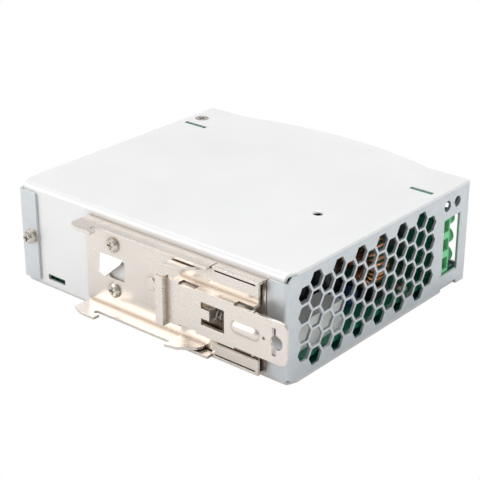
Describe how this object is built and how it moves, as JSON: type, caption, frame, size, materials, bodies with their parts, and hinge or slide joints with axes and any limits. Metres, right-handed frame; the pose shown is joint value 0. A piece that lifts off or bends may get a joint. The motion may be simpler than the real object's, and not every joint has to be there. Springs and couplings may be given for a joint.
{
  "type": "din rail power supply",
  "caption": "Metal-cased power supply for a DIN rail: vented case with a crowned front, screw terminals at both ends, and a sprung rail clip with a pull tongue.",
  "frame": {"origin": "middle of the whole part's bounding box in plan, on the underside of the lower side plate", "axes": "+X along the case's long side, from its upper end to the end with the pull tongue; +Y from the rail side to the crowned front; +Z across the case's thickness, up as it lies on one side plate"},
  "size_m": [0.1304, 0.1248, 0.04],
  "materials": {
    "cover_sheet": "satin",
    "chassis_zinc": "zinc plated, dull",
    "clip_nickel": "nickel plated, satin",
    "screw_steel": "plated, bright",
    "spring_steel": "bright wire",
    "board_green": "solder mask over glass fibre",
    "sheet_teal": "polyester sheet",
    "terminal_green": "moulded",
    "tin_contact": "tin plated",
    "clamp_zinc": "zinc plated",
    "standoff_brass": "machined",
    "fuse_ceramic": "ceramic tube, capped",
    "thermistor_black": "coated disc",
    "varistor_blue": "coated disc",
    "capacitor_white": "moulded box",
    "capacitor_sleeve": "heat-shrink sleeve",
    "ferrite_green": "coated ring core",
    "iron_powder": "coated ring core",
    "copper_wire": "enamelled copper, glossy",
    "device_black": "moulded epoxy",
    "ferrite_grey": "sintered",
    "bobbin_brown": "moulded phenolic",
    "tape_yellow": "polyester tape",
    "heatsink_aluminium": "extruded, plain",
    "opto_white": "moulded",
    "lamp_green": "clear tinted dome",
    "adjuster_blue": "moulded",
    "adjuster_ivory": "moulded"
  },
  "bodies": {
    "case": {"case_cover": "cover_sheet", "front_chassis": "chassis_zinc", "insulation_sheet": "sheet_teal", "flange_screw": "screw_steel", "flange_washers": "clamp_zinc", "side_screws": "screw_steel", "din_bracket": "clip_nickel", "bracket_screws": "screw_steel", "latch_spring": "spring_steel", "main_board": "board_green", "board_standoffs": "standoff_brass", "board_screws": "screw_steel", "input_board": "board_green", "output_board": "board_green", "input_block": "terminal_green", "output_block": "terminal_green", "input_contacts": "tin_contact", "output_contacts": "tin_contact", "fuse": "fuse_ceramic", "thermistor": "thermistor_black", "varistor": "varistor_blue", "line_capacitor": "capacitor_white", "safety_capacitors": "varistor_blue", "choke_core": "ferrite_green", "choke_windings": "copper_wire", "choke_base": "device_black", "bridge_rectifier": "device_black", "primary_capacitors": "capacitor_sleeve", "transformer_core": "ferrite_grey", "transformer_bobbin": "bobbin_brown", "transformer_winding": "tape_yellow", "primary_heatsink": "heatsink_aluminium", "power_transistors": "device_black", "output_heatsink": "heatsink_aluminium", "output_diodes": "device_black", "device_screws": "screw_steel", "output_choke_core": "iron_powder", "output_choke_winding": "copper_wire", "output_capacitors": "capacitor_sleeve", "optocouplers": "opto_white", "controller_chips": "device_black", "status_lamp": "lamp_green", "adjuster_body": "adjuster_blue"},
    "latch": {"din_slider": "clip_nickel"},
    "adjuster": {"adjuster_rotor": "adjuster_ivory"},
    "input_screw_1_body": {"input_screw_1": "screw_steel"},
    "input_clamp_1_body": {"input_clamp_1": "clamp_zinc"},
    "input_screw_2_body": {"input_screw_2": "screw_steel"},
    "input_clamp_2_body": {"input_clamp_2": "clamp_zinc"},
    "input_screw_3_body": {"input_screw_3": "screw_steel"},
    "input_clamp_3_body": {"input_clamp_3": "clamp_zinc"},
    "output_screw_1_body": {"output_screw_1": "screw_steel"},
    "output_clamp_1_body": {"output_clamp_1": "clamp_zinc"},
    "output_screw_2_body": {"output_screw_2": "screw_steel"},
    "output_clamp_2_body": {"output_clamp_2": "clamp_zinc"},
    "output_screw_3_body": {"output_screw_3": "screw_steel"},
    "output_clamp_3_body": {"output_clamp_3": "clamp_zinc"},
    "output_screw_4_body": {"output_screw_4": "screw_steel"},
    "output_clamp_4_body": {"output_clamp_4": "clamp_zinc"}
  },
  "joints": [
    {"name": "latch_slide", "type": "slide", "parent": "case", "child": "latch", "axis": [1, 0, 0], "range_m": [0, 0.004], "stiffness_N_per_m": 1500, "springref_m": -0.0015, "deforming": ["latch_spring"]},
    {"name": "adjuster_turn", "type": "hinge", "parent": "case", "child": "adjuster", "pos_m": [-0.0362, 0.05685, 0.0114], "axis": [0, -1, 0], "range_deg": [-135, 135]},
    {"name": "input_screw_1_turn", "type": "hinge", "parent": "case", "child": "input_screw_1_body", "pos_m": [0.0535, 0.0498, 0.01015], "axis": [0, -1, 0], "range_deg": [0, 1440]},
    {"name": "input_clamp_1_lift", "type": "slide", "parent": "case", "child": "input_clamp_1_body", "axis": [0, 1, 0], "range_m": [0, 0.002]},
    {"name": "input_screw_2_turn", "type": "hinge", "parent": "case", "child": "input_screw_2_body", "pos_m": [0.0535, 0.0498, 0.01765], "axis": [0, -1, 0], "range_deg": [0, 1440]},
    {"name": "input_clamp_2_lift", "type": "slide", "parent": "case", "child": "input_clamp_2_body", "axis": [0, 1, 0], "range_m": [0, 0.002]},
    {"name": "input_screw_3_turn", "type": "hinge", "parent": "case", "child": "input_screw_3_body", "pos_m": [0.0535, 0.0498, 0.02515], "axis": [0, -1, 0], "range_deg": [0, 1440]},
    {"name": "input_clamp_3_lift", "type": "slide", "parent": "case", "child": "input_clamp_3_body", "axis": [0, 1, 0], "range_m": [0, 0.002]},
    {"name": "output_screw_1_turn", "type": "hinge", "parent": "case", "child": "output_screw_1_body", "pos_m": [-0.0587, 0.0498, 0.01015], "axis": [0, -1, 0], "range_deg": [0, 1440]},
    {"name": "output_clamp_1_lift", "type": "slide", "parent": "case", "child": "output_clamp_1_body", "axis": [0, 1, 0], "range_m": [0, 0.002]},
    {"name": "output_screw_2_turn", "type": "hinge", "parent": "case", "child": "output_screw_2_body", "pos_m": [-0.0587, 0.0498, 0.01765], "axis": [0, -1, 0], "range_deg": [0, 1440]},
    {"name": "output_clamp_2_lift", "type": "slide", "parent": "case", "child": "output_clamp_2_body", "axis": [0, 1, 0], "range_m": [0, 0.002]},
    {"name": "output_screw_3_turn", "type": "hinge", "parent": "case", "child": "output_screw_3_body", "pos_m": [-0.0587, 0.0498, 0.02515], "axis": [0, -1, 0], "range_deg": [0, 1440]},
    {"name": "output_clamp_3_lift", "type": "slide", "parent": "case", "child": "output_clamp_3_body", "axis": [0, 1, 0], "range_m": [0, 0.002]},
    {"name": "output_screw_4_turn", "type": "hinge", "parent": "case", "child": "output_screw_4_body", "pos_m": [-0.0587, 0.0498, 0.03265], "axis": [0, -1, 0], "range_deg": [0, 1440]},
    {"name": "output_clamp_4_lift", "type": "slide", "parent": "case", "child": "output_clamp_4_body", "axis": [0, 1, 0], "range_m": [0, 0.002]}
  ],
  "couplings": [
    {"joint": "input_screw_1_turn", "follows": "input_clamp_1_lift", "rad_per_m": 12566},
    {"joint": "input_screw_2_turn", "follows": "input_clamp_2_lift", "rad_per_m": 12566},
    {"joint": "input_screw_3_turn", "follows": "input_clamp_3_lift", "rad_per_m": 12566},
    {"joint": "output_screw_1_turn", "follows": "output_clamp_1_lift", "rad_per_m": 12566},
    {"joint": "output_screw_2_turn", "follows": "output_clamp_2_lift", "rad_per_m": 12566},
    {"joint": "output_screw_3_turn", "follows": "output_clamp_3_lift", "rad_per_m": 12566},
    {"joint": "output_screw_4_turn", "follows": "output_clamp_4_lift", "rad_per_m": 12566}
  ]
}
